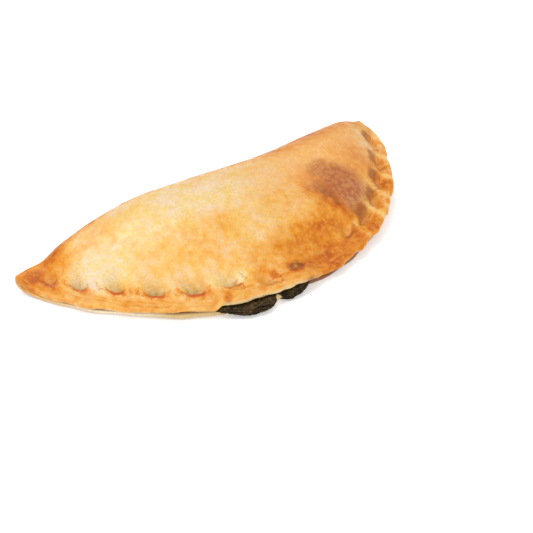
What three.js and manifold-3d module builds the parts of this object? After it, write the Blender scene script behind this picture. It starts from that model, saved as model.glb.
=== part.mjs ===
// A baked panzerotto: one round of dough folded over a leaf filling, its curved edge pressed shut
// with a fingertip. The seam has parted at the front, where the cooked leaf shows.
// Millimetres, +Z up. The fold runs along X at the back (+Y), the pressed rim curves round the
// front (-Y), and the base rests on Z = 0 with the origin under the middle of the pastry.
import * as THREE from "three";
import { mergeVertices } from "three/addons/utils/BufferGeometryUtils.js";
import Module from "manifold-3d";

const { clamp, lerp, smoothstep, degToRad } = THREE.MathUtils;

// Plan of the half moon
const LENGTH = 183; // tip to tip along the fold
const DEPTH = 75; // fold to rim
const TIP_POINT = { left: 0.42, right: -0.06 }; // extra power: the left tip is sharp, the right one blunt
const TIP_POINT_FROM = { left: 0, right: 0.7 }; // share of the half length where that starts
const TIP_POINT_TO = { left: 0.66, right: 1 }; // and where it is full
const CORNER = { point: -0.15, from: 0.93 }; // the blunt end is squarer still close to the fold
const CORNER_DIP = { by: 3, from: 0.92 }; // and rounds off towards the front
const BULGE = { by: 0.025, from: 0.2, full: 0.6, fades: 0.72, to: 0.92 }; // fuller rim on the right
const FOLD_BOW = 2.4; // how far the fold swells backwards
const FOLD_BOW_LEFT = 0.8; // how much more it swells on the left
const FAN = 0.5; // 0 sets the sections square to the fold, 1 spreads them evenly along it

// Heights
const CROWN = [7.8, 14.6, 23.8, 28.6, 28, 26, 24, 22.8, 23, 20.4, 14.8]; // from left tip to right
const NECK = { at: 0.85, half: 0.1, dip: 1.9 }; // the fold dips behind the left tip, 1 being the tip
const CROWN_PLACE = 0.33; // where the crown lies, from fold to rim
const DOME_POWER = 1.8; // how full the slope is between crown and rim
const FOLD_WAIST = 0.42; // height of the backmost line, as a share of the crown
const FOLD_ROUND = 0.16; // share of the width that the fold's underside takes to turn up
const LUMP = 0.5; // gentle unevenness of the baked top
const TIP_LIFT = { left: 3.6, right: 9.4 }; // how far the two tips curl off the table
const TIP_LIFT_START = { left: 0.8, right: 0.6 }; // where that curl starts, 1 being the tip

// Dough and rim
const UPPER_SHEET = 2.8;
const LOWER_SHEET = 2.2;
const LOWER_INSET = 1.4; // the lower sheet ends this far inside the upper one
const GROOVE_INSET = 2.8; // depth of the line between the two sheets
const FLANGE = 9; // width of the pressed rim
const RIM_LIFT = 0.4; // rim's underside above the table along the front
const RIM_RISE = 22; // how far inside the rim its underside leaves the table
const TIP_ROUND = 0.08; // radians of rim over which each tip rounds off
const FULL_WIDTH = 28; // sections narrower than this have a slimmer rim

// Finger presses: length along the rim from the left tip, inset from its edge, half width, firmness
const PRESSES = [
  [6, 7, 3, 0.4], [20, 13, 4, 0.5], [33.5, 11.4, 5, 0.85], [50, 12.4, 5.4, 0.9],
  [66.5, 11.8, 5.4, 0.95], [82.6, 12.2, 5.6, 1], [97.5, 11, 5.6, 0.85], [112, 6.3, 4.4, 0.75],
  [127.5, 8.8, 4.6, 0.65], [145.5, 11, 5, 0.3], [162.5, 10.4, 4.4, 0.8], [176.6, 7, 6.6, 1],
  [190, 6.8, 6.4, 0.95], [203, 7, 6.4, 0.9], [216.7, 6.6, 6.8, 1], [231.5, 7.4, 7, 0.9],
];
const PRESS_DEPTH = 2.5;
const PRESS_REACH = { out: 3, in: 5.6 }; // from a press's middle towards the rim and the dome
const END_REACH = { out: 5, in: 3.6 }; // the same round the blunt end, where presses lie open to the rim
const END_FROM = 170; // length along the rim where those start
const PRESS_SPREAD = 0.7; // dough squeezed outwards by a press

// Parted seam, by lengths along the rim from the left tip
const MOUTH = { from: 85.5, to: 136 }; // where leaf shows
const MOUTH_EASE = { left: 3.5, right: 10 }; // length over which the mouth narrows at each end
const SEAM_PART = 2.8; // how far the sheets have sprung apart
const SEAM_WIDE = { from: 88.5, to: 126 }; // where they are fully apart
const SEAM_EASE = { left: 4.5, right: 14 }; // length over which they come together again at each end
const MOUTH_PRESS = 0.5; // presses over the mouth are this share of the usual depth
const LIP_BACK = { from: 99, to: 125, inset: 6.5 }; // where the lower sheet has drawn back, and how far
const LIP_EASE = 9; // length over which it comes forward again
const LIP_TAB = { at: 114, half: 3.6, inset: 1.6 }; // shred of the lower sheet left in the mouth
const SAG = [
  { from: 98, to: 107, ease: 7, out: 2.6 },
  { from: 118, to: 126, ease: 5, out: 0.8 },
]; // where leaf hangs out past the rim, and how far

// Pocket and filling
const WALL = { top: 3.2, back: 3.2, base: 2.6 };
const POCKET_END = 5; // pocket stops this far short of the pressed rim
const POCKET_SPAN = { from: 0.3, to: 2.8 }; // radians of rim that the pocket spans
const FIT_GAP = 0.35; // clearance between filling and dough
const LEAF_LAYERS = 4; // folded leaf layers seen in the mouth
const LEAF_NOTCH = 0.9; // depth of the crease between two layers
const LEAF_CRINKLE = 0.45; // waviness along a layer
const TONGUE_ROOT = 7; // how far behind the pressed rim the tongue of leaf starts
const TONGUE_SHORT = 1.3; // how far the tongue stays inside the ends of the mouth
const TONGUE_FRONT = -2.2; // front of the tongue past the rim where it doesn't sag

// Resolution
const STATIONS = 104;
const RING = { foldUnder: 4, foldOver: 6, dome: 12, base: 6 };
const DOME_CLOSE = 1.5; // rings crowd towards the foot of the dome by this power
const FLANGE_INSETS = [8, 6.7, 5.4, 4.2, 3.2, 2.4];
const POCKET_STATIONS = 40;
const MOUTH_STATIONS = 40;

const wasm = await Module();
wasm.setup();

const halfLength = LENGTH / 2;

// Rim in plan at an angle that runs from 0 at the left tip to pi at the right tip.
function rimPoint(angle) {
  const along = Math.cos(angle);
  const left = TIP_POINT.left * smoothstep(along, TIP_POINT_FROM.left, TIP_POINT_TO.left);
  const right = TIP_POINT.right * smoothstep(-along, TIP_POINT_FROM.right, TIP_POINT_TO.right);
  const corner = CORNER.point * smoothstep(-along, CORNER.from, 1);
  const power = 1 + left + right + corner;
  const fuller = smoothstep(-along, BULGE.from, BULGE.full) * (1 - smoothstep(-along, BULGE.fades, BULGE.to));
  const out = DEPTH * Math.sin(angle) ** power * (1 + BULGE.by * fuller);
  return new THREE.Vector2(-halfLength * along, -out - cornerDip(angle));
}

// The blunt end of the fold and rim rounds off towards the front.
function cornerDip(angle) {
  const share = (-Math.cos(angle) - CORNER_DIP.from) / (1 - CORNER_DIP.from);
  return CORNER_DIP.by * Math.max(share, 0) ** 2;
}

// How far along the fold a section starts: 1 at the left tip, -1 at the right tip.
function foldShare(angle) {
  return lerp(Math.cos(angle), 1 - (2 * angle) / Math.PI, FAN);
}

function foldPoint(angle) {
  const share = foldShare(angle);
  const bow = FOLD_BOW * (1 - share * share) * (1 + FOLD_BOW_LEFT * share);
  return new THREE.Vector2(-halfLength * share, bow - cornerDip(angle));
}

// Running length of the rim, tabulated so that angle and length convert both ways.
const rimSteps = 2000;
const rimLengths = [0];
for (let i = 1; i <= rimSteps; i++) {
  const step = rimPoint((Math.PI * i) / rimSteps).distanceTo(rimPoint((Math.PI * (i - 1)) / rimSteps));
  rimLengths.push(rimLengths[i - 1] + step);
}
const rimLength = rimLengths[rimSteps];

function lengthAt(angle) {
  const place = clamp(angle / Math.PI, 0, 1) * rimSteps;
  const below = Math.min(Math.floor(place), rimSteps - 1);
  return lerp(rimLengths[below], rimLengths[below + 1], place - below);
}

function angleAt(length) {
  const above = clamp(rimLengths.findIndex((reached) => reached >= length), 1, rimSteps);
  const span = rimLengths[above] - rimLengths[above - 1];
  return (Math.PI * (above - 1 + (length - rimLengths[above - 1]) / span)) / rimSteps;
}

// 1 inside a stretch of rim, easing to 0 over the given length at both ends.
function within(length, from, to, ease) {
  return smoothstep(length, from - ease, from) * (1 - smoothstep(length, to, to + ease));
}

// How deep the presses go at a length along the rim and an inset from it, from 0 to 1.
function pressed(length, inset) {
  let deepest = 0;
  for (const [at, middle, half, firm] of PRESSES) {
    const reach = at < END_FROM ? PRESS_REACH : END_REACH;
    const across = (inset - middle) / (inset < middle ? reach.out : reach.in);
    const away = Math.hypot((length - at) / half, across);
    deepest = Math.max(deepest, firm * (1 - smoothstep(away, 0.45, 1.05)));
  }
  return deepest;
}

// How far a press squeezes the edge outwards at a length along the rim, from 0 to 1.
function squeezed(length) {
  const shares = PRESSES.map(([at, , half]) => 1 - smoothstep(Math.abs(length - at) / half, 0.35, 1.05));
  return Math.max(...shares);
}

// Where the seam has parted, from 0 to 1.
function parted(length) {
  const left = smoothstep(length, SEAM_WIDE.from - SEAM_EASE.left, SEAM_WIDE.from);
  return left * (1 - smoothstep(length, SEAM_WIDE.to, SEAM_WIDE.to + SEAM_EASE.right));
}

// Depth of the dent at a length along the rim and an inset from it.
function dentDepth(length, inset) {
  return PRESS_DEPTH * lerp(1, MOUTH_PRESS, parted(length)) * pressed(length, inset);
}

// How far the two tips curl up, for the base and for the rim.
function tipLift(share) {
  const left = clamp((share - TIP_LIFT_START.left) / (1 - TIP_LIFT_START.left), 0, 1);
  const right = clamp((-share - TIP_LIFT_START.right) / (1 - TIP_LIFT_START.right), 0, 1);
  return TIP_LIFT.left * left ** 2 + TIP_LIFT.right * right ** 2;
}

// Underside of the rim: low along the front, rising round the right side.
function rimLift(angle) {
  const share = foldShare(angle);
  const side = 6 * smoothstep(angle, degToRad(95), degToRad(165));
  return Math.max(RIM_LIFT + side, tipLift(share));
}

// Smooth line through the crown heights, spaced evenly along the fold.
const crownLine = new THREE.SplineCurve(CROWN.map((height, i) => new THREE.Vector2(i, height)));

// One section through the dough, from the fold out to the rim.
function sectionAt(angle) {
  const length = lengthAt(angle);
  const fold = foldPoint(angle);
  const out = rimPoint(angle).sub(fold);
  const width = out.length();
  out.normalize();
  const slim = Math.min(1, width / FULL_WIDTH);
  const share = foldShare(angle);
  const base = tipLift(share);
  const under = rimLift(angle);
  const part = SEAM_PART * parted(length);
  const rimTop = under + LOWER_SHEET + part + UPPER_SHEET;
  const neck = NECK.dip * (1 - smoothstep(Math.abs(share - NECK.at), 0, NECK.half));
  const crown = Math.max(crownLine.getPoint((1 - share) / 2).y - neck, rimTop + 0.3);
  const tip = clamp(Math.min(angle, Math.PI - angle) / TIP_ROUND, 0, 1);
  return {
    angle, length, fold, out, width, slim, base, under, part, rimTop, crown,
    waist: lerp(base, crown, FOLD_WAIST),
    filled: width - FLANGE * slim,
    round: Math.sqrt(1 - (1 - tip) ** 2),
    middle: under + (LOWER_SHEET + part + UPPER_SHEET) / 2,
  };
}

// Height of the top of a section at a distance from the fold, before the presses.
function topHeight(section, reach) {
  const { filled, crown, waist, rimTop } = section;
  const crownAt = CROWN_PLACE * filled;
  if (reach <= crownAt) {
    const back = 1 - clamp(reach / crownAt, 0, 1);
    return lerp(waist, crown, Math.sqrt(1 - back * back));
  }
  const down = clamp((reach - crownAt) / (filled - crownAt), 0, 1);
  return lerp(rimTop, crown, 1 - down ** DOME_POWER);
}

// Broad, shallow lumps left by the filling under the top sheet.
function lump(section, reach) {
  const x = section.length / 17;
  const y = reach / 13;
  const fade = smoothstep(section.filled - reach, 0, 14);
  return LUMP * fade * (Math.sin(x + 1.1 * Math.sin(y)) + 0.7 * Math.sin(1.7 * y - 0.6 * x));
}

// Underside of a section, flat on the table and rising to the rim.
function baseHeight(section, reach) {
  const inset = section.width - reach;
  const rise = Math.min(RIM_RISE, 0.6 * section.width);
  const start = LOWER_INSET * section.slim;
  return lerp(section.base, section.under, 1 - smoothstep(inset, start, rise));
}

// A point of a section, from its reach and height to space.
function place(section, reach, height) {
  const { fold, out, middle, round } = section;
  const z = middle + (height - middle) * round;
  return new THREE.Vector3(fold.x + out.x * reach, fold.y + out.y * reach, z);
}

// Closed outline of the dough at a section, from under the fold, over the top and back beneath.
function doughRing(angle) {
  const s = sectionAt(angle);
  const ring = [];
  const add = (reach, height) => ring.push(place(s, reach, height));
  const underTurn = FOLD_ROUND * s.filled;
  for (let i = 0; i < RING.foldUnder; i++) {
    const turn = (Math.PI / 2) * (i / RING.foldUnder);
    add(underTurn * (1 - Math.sin(turn)), lerp(s.waist, s.base, Math.cos(turn)));
  }
  const crownAt = CROWN_PLACE * s.filled;
  for (let i = 0; i < RING.foldOver; i++) {
    const turn = (Math.PI / 2) * (i / RING.foldOver);
    const reach = crownAt * (1 - Math.cos(turn));
    add(reach, lerp(s.waist, s.crown, Math.sin(turn)) + lump(s, reach) * Math.sin(turn));
  }
  for (let i = 0; i < RING.dome; i++) {
    const reach = lerp(s.filled, crownAt, (1 - i / RING.dome) ** DOME_CLOSE);
    const dent = s.slim * dentDepth(s.length, s.width - reach);
    add(reach, topHeight(s, reach) + lump(s, reach) - dent);
  }
  const spread = PRESS_SPREAD * s.slim * squeezed(s.length);
  const edge = s.width + spread;
  for (const inset of FLANGE_INSETS) {
    const dent = s.slim * dentDepth(s.length, inset);
    add(edge - inset * s.slim, s.rimTop - dent);
  }
  const upper = UPPER_SHEET / 2;
  for (const turn of [50, 0, -50]) {
    const a = degToRad(turn);
    add(edge - upper * s.slim * (1 - Math.cos(a)), s.rimTop - upper + upper * Math.sin(a));
  }
  add(edge - GROOVE_INSET * s.slim, s.under + LOWER_SHEET + s.part / 2);
  const lower = LOWER_SHEET / 2;
  for (const turn of [50, 0, -50]) {
    const a = degToRad(turn);
    add(edge - (LOWER_INSET + lower * (1 - Math.cos(a))) * s.slim, s.under + lower + lower * Math.sin(a));
  }
  for (let i = 0; i < RING.base; i++) {
    const reach = lerp(s.width - (LOWER_INSET + LOWER_SHEET) * s.slim, underTurn, i / RING.base);
    add(reach, baseHeight(s, reach));
  }
  return ring;
}

// Inside of the dough at a section, drawn in by a gap for the filling.
function pocketRing(angle, gap) {
  const s = sectionAt(angle);
  const ring = [];
  const back = WALL.back + gap;
  const front = s.filled - POCKET_END - gap;
  const crownAt = Math.max(CROWN_PLACE * s.filled, back + 1);
  const ceiling = (reach) => topHeight(s, reach) + lump(s, reach) - WALL.top - gap;
  const floor = (reach) => baseHeight(s, reach) + WALL.base + gap;
  const overSteps = 5;
  for (let i = 0; i < overSteps; i++) {
    const turn = (Math.PI / 2) * (i / overSteps);
    const reach = lerp(crownAt, back, Math.cos(turn));
    ring.push(place(s, reach, lerp(s.waist, ceiling(crownAt), Math.sin(turn))));
  }
  const domeSteps = 6;
  for (let i = 0; i <= domeSteps; i++) {
    const reach = lerp(crownAt, front, i / domeSteps);
    ring.push(place(s, reach, ceiling(reach)));
  }
  const floorSteps = 4;
  for (let i = 0; i <= floorSteps; i++) {
    const reach = lerp(front, back + FOLD_ROUND * s.filled, i / floorSteps);
    ring.push(place(s, reach, floor(reach)));
  }
  return ring;
}

// How far the mouth gapes at a length along the rim, from 0 near its ends to 1.
function gape(length, short) {
  const left = smoothstep(length - MOUTH.from, short, short + MOUTH_EASE.left);
  const right = smoothstep(MOUTH.to - length, short, short + MOUTH_EASE.right);
  return left * right;
}

// Ceiling of the mouth under the upper sheet.
function mouthTop(s, reach) {
  const rim = s.under + LOWER_SHEET + s.part;
  const inside = topHeight(s, s.filled - TONGUE_ROOT) - WALL.top;
  return lerp(inside, rim, clamp((reach - s.filled + TONGUE_ROOT) / TONGUE_ROOT, 0, 1));
}

// Where the lower sheet ends in the mouth, as a distance from the fold.
function lipReach(s) {
  const drawnBack = within(s.length, LIP_BACK.from, LIP_BACK.to, LIP_EASE);
  const inset = lerp(LOWER_INSET, LIP_BACK.inset, drawnBack);
  const tab = 1 - smoothstep(Math.abs(s.length - LIP_TAB.at), 0.3 * LIP_TAB.half, LIP_TAB.half);
  return s.width - lerp(inset, LIP_TAB.inset, tab);
}

// Wedge that cuts the mouth through the rim, between the sheets and past the lower lip.
function mouthRing(length) {
  const s = sectionAt(angleAt(length));
  const root = s.filled - TONGUE_ROOT;
  const lip = lipReach(s);
  const past = s.width + 8;
  const open = gape(length, 0);
  const low = (reach, height) => place(s, reach, lerp(mouthTop(s, reach) - 0.6, height, open));
  const floor = baseHeight(s, lip) + WALL.base;
  return [
    place(s, root, mouthTop(s, root)),
    place(s, s.filled, mouthTop(s, s.filled)),
    place(s, s.width, mouthTop(s, s.width)),
    place(s, past, mouthTop(s, s.width)),
    low(past, -3),
    low(lip + 1.5, -3),
    low(lip, floor),
    low(s.filled, floor),
    low(root, floor),
  ];
}

// Folded leaf that fills the mouth and sags to the table, before the lower lip is cleared.
function tongueRing(length) {
  const s = sectionAt(angleAt(length));
  const open = gape(length, TONGUE_SHORT);
  const root = s.filled - TONGUE_ROOT + 1;
  const sag = SAG.reduce((out, { from, to, ease, out: far }) => {
    return out + (far - TONGUE_FRONT) * within(length, from, to, ease);
  }, TONGUE_FRONT);
  const front = s.width + lerp(TONGUE_FRONT, sag, open);
  const top = (reach) => mouthTop(s, reach) - FIT_GAP;
  const low = (reach) => lerp(top(reach) - 0.15, 0.2, open);
  const ring = [place(s, root, top(root)), place(s, s.filled, top(s.filled))];
  const creases = 2 * LEAF_LAYERS;
  for (let i = 0; i <= creases; i++) {
    const notch = i % 2 === 0 ? LEAF_NOTCH : 0;
    const crinkle = LEAF_CRINKLE * Math.sin(length * 0.9 + i * 2.1) * Math.sin(length * 0.37 + i);
    const crease = front - notch + crinkle - (i === 0 ? 1.2 : 0);
    ring.push(place(s, crease, lerp(top(s.width), low(s.width), i / creases)));
  }
  ring.push(place(s, s.filled, low(s.filled)));
  ring.push(place(s, root, low(root)));
  return ring;
}

// Room that the tongue leaves round the lower lip, wider at the ends of the mouth.
function lipRoomRing(length) {
  const s = sectionAt(angleAt(length));
  const lip = lipReach(s) + FIT_GAP;
  const root = s.filled - TONGUE_ROOT;
  const open = gape(length, 0);
  const floor = baseHeight(s, lip) + WALL.base;
  const room = FIT_GAP + 3 * (1 - open);
  const low = (reach) => lerp(mouthTop(s, reach) - 0.6, floor, open) + room;
  return [
    place(s, root, low(root)),
    place(s, s.filled, low(s.filled)),
    place(s, lip, low(lip)),
    place(s, lip + 1.5, -3),
    place(s, root, -3),
  ];
}

// Faces that close a ring, which stands upright on a line in plan, wound as the ring runs.
function capFaces(ring) {
  const start = ring[0];
  const away = ring.map((p) => Math.hypot(p.x - start.x, p.y - start.y));
  const far = ring[away.indexOf(Math.max(...away))];
  const along = new THREE.Vector3(far.x - start.x, far.y - start.y, 0).normalize();
  const flat = ring.map((p) => new THREE.Vector2(p.clone().sub(start).dot(along), p.z));
  const runs = Math.sign(THREE.ShapeUtils.area(flat));
  return THREE.ShapeUtils.triangulateShape(flat, []).map((face) => {
    const turns = Math.sign(THREE.ShapeUtils.area(face.map((corner) => flat[corner])));
    return turns === runs ? face : [...face].reverse();
  });
}

// Closed surface through a row of equal rings.
function loft(rings) {
  const count = rings[0].length;
  const faces = [];
  for (let j = 0; j < count; j++) {
    const next = (j + 1) % count;
    for (let i = 0; i + 1 < rings.length; i++) {
      const here = i * count;
      const there = here + count;
      faces.push(here + j, here + next, there + j, here + next, there + next, there + j);
    }
  }
  const last = (rings.length - 1) * count;
  for (const [a, b, c] of capFaces(rings[0])) {
    faces.push(a, c, b);
  }
  for (const [a, b, c] of capFaces(rings.at(-1))) {
    faces.push(last + a, last + b, last + c);
  }
  return new THREE.BufferGeometry().setFromPoints(rings.flat()).setIndex(faces);
}

function toSolid(geometry) {
  const merged = mergeVertices(geometry);
  const mesh = new wasm.Mesh({
    numProp: 3,
    vertProperties: new Float32Array(merged.attributes.position.array),
    triVerts: new Uint32Array(merged.index.array),
  });
  return new wasm.Manifold(mesh);
}

function toGeometry(solid) {
  const { vertProperties, triVerts } = solid.getMesh();
  const geometry = new THREE.BufferGeometry();
  geometry.setAttribute("position", new THREE.BufferAttribute(vertProperties, 3));
  geometry.setIndex(new THREE.BufferAttribute(triVerts, 1));
  geometry.computeVertexNormals();
  return geometry;
}

// Values from one number to another, both ends included.
function spaced(from, to, count) {
  return Array.from({ length: count }, (_, i) => lerp(from, to, i / (count - 1)));
}

const mouthLengths = spaced(MOUTH.from, MOUTH.to, MOUTH_STATIONS);

function makePocket(gap) {
  const trim = gap / DEPTH;
  const angles = spaced(POCKET_SPAN.from + trim, POCKET_SPAN.to - trim, POCKET_STATIONS);
  return toSolid(loft(angles.map((angle) => pocketRing(angle, gap))));
}

function makeDough() {
  const ends = rimLength * 0.0006;
  const angles = spaced(ends, rimLength - ends, STATIONS).map(angleAt);
  const sheet = toSolid(loft(angles.map(doughRing)));
  const mouth = toSolid(loft(mouthLengths.map(mouthRing)));
  return sheet.subtract(makePocket(0)).subtract(mouth);
}

function makeFilling() {
  const tongue = toSolid(loft(mouthLengths.slice(2, -2).map(tongueRing)));
  const lipRoom = toSolid(loft(mouthLengths.map(lipRoomRing)));
  return makePocket(FIT_GAP).add(tongue.subtract(lipRoom));
}

function named(name, solid, material) {
  const mesh = new THREE.Mesh(toGeometry(solid), material);
  mesh.name = name;
  return mesh;
}

const bakedDough = new THREE.MeshStandardMaterial({ color: 0xe0a355, roughness: 0.5, metalness: 0 });
const cookedLeaf = new THREE.MeshStandardMaterial({ color: 0x3d3a22, roughness: 0.6, metalness: 0 });

const panzerotto = new THREE.Group();
panzerotto.add(named("pastry", makeDough(), bakedDough));
panzerotto.add(named("filling", makeFilling(), cookedLeaf));

// The origin goes under the middle of the pastry's outline.
const middle = new THREE.Box3().setFromObject(panzerotto).getCenter(new THREE.Vector3());
panzerotto.position.set(-middle.x, -middle.y, 0);

export default panzerotto;
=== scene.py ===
import math

import bpy
import numpy as np
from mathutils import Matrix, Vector


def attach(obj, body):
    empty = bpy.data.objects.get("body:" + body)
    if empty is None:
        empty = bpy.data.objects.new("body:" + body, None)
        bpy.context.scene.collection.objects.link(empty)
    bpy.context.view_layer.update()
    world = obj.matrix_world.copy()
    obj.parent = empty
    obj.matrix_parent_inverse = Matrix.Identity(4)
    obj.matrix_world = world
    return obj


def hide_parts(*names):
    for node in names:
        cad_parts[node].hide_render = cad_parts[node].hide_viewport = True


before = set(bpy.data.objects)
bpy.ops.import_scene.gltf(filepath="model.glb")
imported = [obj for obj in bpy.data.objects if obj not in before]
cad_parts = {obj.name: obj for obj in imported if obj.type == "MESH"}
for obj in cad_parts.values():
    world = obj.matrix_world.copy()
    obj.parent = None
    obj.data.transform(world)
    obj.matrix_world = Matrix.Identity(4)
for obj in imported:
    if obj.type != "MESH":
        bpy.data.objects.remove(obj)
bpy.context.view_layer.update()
mm = 0.001

studio = {
    "level": 1.4,  # how bright the light is on the floor; surface colours are divided by it
    "floorSize": 3.0,
    "floorDrop": 0.0002,  # the floor lies this little below the crust
    "floorTone": (0.93, 0.93, 0.93, 1),
    "floorRough": 0.7,
    "floorSheen": 0.1,
    "floorGlow": 0.3,  # the lit table keeps shadows pale
    "world": 0.78,
    "lightTone": (1, 1, 1, 1),
    "aim": (0, 0, 0.01),
    "key": {"at": (-0.32, 0.15, 1.1), "size": 0.6, "power": 7.2},
    "fill": {"at": (-0.4, -0.95, 0.65), "size": 1.0, "power": 4.4},
}
print("frame loaded:", sorted(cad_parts))


# small helpers for sizes, nodes and meshes

def ease(value, low, high):
    t = np.clip((value - low) / (high - low), 0, 1)
    return t * t * (3 - 2 * t)


def within(value, low, high, softLow, softHigh):
    return ease(value, low - softLow, low) * (1 - ease(value, high, high + softHigh))


def grow(value, most, low, high):
    return most * ease(value, low, high)


def endRise(value, most, start):
    # nothing up to the start, and the most at the very end
    return most * np.clip((value - start) / (1 - start), 0, 1) ** 2


def mix(a, b, t):
    return a + (b - a) * t


def seen(red, green, blue):
    # a colour as it looks in the studio light, 0 to 255, made into a surface colour
    part = [c / 255 for c in (red, green, blue)]
    linear = [c / 12.92 if c < 0.04045 else ((c + 0.055) / 1.055) ** 2.4 for c in part]
    return tuple(c / studio["level"] for c in linear) + (1,)


def feed(tree, node, sockets):
    for key, value in sockets.items():
        if isinstance(value, bpy.types.NodeSocket):
            tree.links.new(value, node.inputs[key])
        else:
            node.inputs[key].default_value = value


def newNode(tree, kind, sockets=None, **settings):
    made = tree.nodes.new(kind)
    for name, value in settings.items():
        setattr(made, name, value)
    feed(tree, made, sockets or {})
    return made


def calc(tree, operation, a, b=0.0, c=0.0, clamp=False):
    made = newNode(tree, "ShaderNodeMath", {0: a, 1: b, 2: c}, operation=operation, use_clamp=clamp)
    return made.outputs[0]


def times(tree, *values):
    total = values[0]
    for value in values[1:]:
        total = calc(tree, "MULTIPLY", total, value)
    return total


def both(tree, a, shareA, b, shareB):
    return calc(tree, "MULTIPLY_ADD", a, shareA, times(tree, b, shareB))


def vectorCalc(tree, operation, a, b=(0, 0, 0), scale=1.0):
    sockets = {0: a, "Scale": scale} if operation == "SCALE" else {0: a, 1: b}
    made = newNode(tree, "ShaderNodeVectorMath", sockets, operation=operation)
    return made.outputs["Value" if operation == "LENGTH" else "Vector"]


def remap(tree, value, low, high, outLow=0.0, outHigh=1.0, smooth=True):
    kind = "SMOOTHSTEP" if smooth else "LINEAR"
    sockets = {0: value, 1: low, 2: high, 3: outLow, 4: outHigh}
    return newNode(tree, "ShaderNodeMapRange", sockets, interpolation_type=kind).outputs[0]


def fade(tree, value, low, high):
    return remap(tree, value, low, high, 1.0, 0.0)


def tint(tree, factor, a, b, kind="MIX"):
    made = newNode(tree, "ShaderNodeMix", {0: factor, 6: a, 7: b}, data_type="RGBA", blend_type=kind)
    return made.outputs[2]


def noise(tree, spot, scale, detail, rough=0.5, seed=None):
    sockets = {"Vector": spot, "Scale": scale, "Detail": detail, "Roughness": rough}
    if seed is None:
        return newNode(tree, "ShaderNodeTexNoise", sockets).outputs
    return newNode(tree, "ShaderNodeTexNoise", {**sockets, "W": seed}, noise_dimensions="4D").outputs


def wobble(tree, colour, amount):
    # a noise colour made into a shift of up to this amount each way
    centred = vectorCalc(tree, "SUBTRACT", colour, (0.5, 0.5, 0.5))
    return vectorCalc(tree, "SCALE", centred, scale=times(tree, amount, 2.0))


def tagged(tree, name):
    # a value kept on the mesh, read in a geometry tree or in a material
    if tree.bl_idname == "GeometryNodeTree":
        return newNode(tree, "GeometryNodeInputNamedAttribute", {"Name": name}, data_type="FLOAT").outputs[0]
    return newNode(tree, "ShaderNodeAttribute", attribute_name=name).outputs["Fac"]


def newGroup(name, kind, takes, gives):
    # takes and gives name each socket, with its default value or else its kind
    kinds = {float: "Float", int: "Int", tuple: "Vector"}
    tree = bpy.data.node_groups.new(name, kind)
    for inOut, sockets in (("INPUT", takes), ("OUTPUT", gives)):
        for label, default in sockets.items():
            named = isinstance(default, str)
            socketKind = "NodeSocket" + (default if named else kinds[type(default)])
            socket = tree.interface.new_socket(label, in_out=inOut, socket_type=socketKind)
            if not named:
                socket.default_value = default
    start = tree.nodes.new("NodeGroupInput")
    end = tree.nodes.new("NodeGroupOutput")
    return tree, start.outputs, end.inputs


def useGroup(tree, group, sockets):
    return newNode(tree, tree.bl_idname.replace("Tree", "Group"), sockets, node_tree=group).outputs


def moveBy(tree, geometry, offset):
    return newNode(tree, "GeometryNodeSetPosition", {"Geometry": geometry, "Offset": offset}).outputs[0]


def finishTree(tree, geometry, material, out):
    whole = newNode(tree, "GeometryNodeRealizeInstances", {"Geometry": geometry}).outputs[0]
    done = newNode(tree, "GeometryNodeSetMaterial", {"Geometry": whole, "Material": material}).outputs[0]
    tree.links.new(done, out["Geometry"])


def addModifier(thing, tree, values):
    made = thing.modifiers.new(tree.name, "NODES")
    made.node_group = tree
    ids = {s.name: s.identifier for s in tree.interface.items_tree if s.in_out == "INPUT"}
    for name, value in values.items():
        made[ids[name]] = value


def newObject(name, data):
    made = bpy.data.objects.new(name, data)
    bpy.context.scene.collection.objects.link(made)
    return made


def settle(thing, name):
    # the evaluated result as a plain mesh, with no modifier left
    shown = thing.evaluated_get(bpy.context.evaluated_depsgraph_get())
    mesh = bpy.data.meshes.new_from_object(shown)
    mesh.name = name
    made = newObject(name, mesh)
    bpy.data.objects.remove(thing)
    return made


def meshObject(name, points, faces):
    mesh = bpy.data.meshes.new(name)
    mesh.from_pydata(points, [], faces)
    mesh.update()
    return newObject(name, mesh)


def loftObject(name, rings):
    # smooth quads between rings of equal count, with both end rings closed
    rows, count = rings.shape[:2]
    faces = []
    for i in range(rows - 1):
        a = i * count
        b = a + count
        faces += [(a + j, a + (j + 1) % count, b + (j + 1) % count, b + j) for j in range(count)]
    last = (rows - 1) * count
    faces.append(tuple(reversed(range(count))))
    faces.append(tuple(range(last, last + count)))
    made = meshObject(name, rings.reshape(-1, 3).tolist(), faces)
    made.data.polygons.foreach_set("use_smooth", [True] * len(faces))
    return made


def tag(mesh, name, values):
    kept = mesh.attributes.new(name, "FLOAT", "POINT")
    kept.data.foreach_set("value", np.ravel(values).astype(np.float32))


# the folded dough, in mm from the fold line, with the left tip at angle 0

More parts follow.
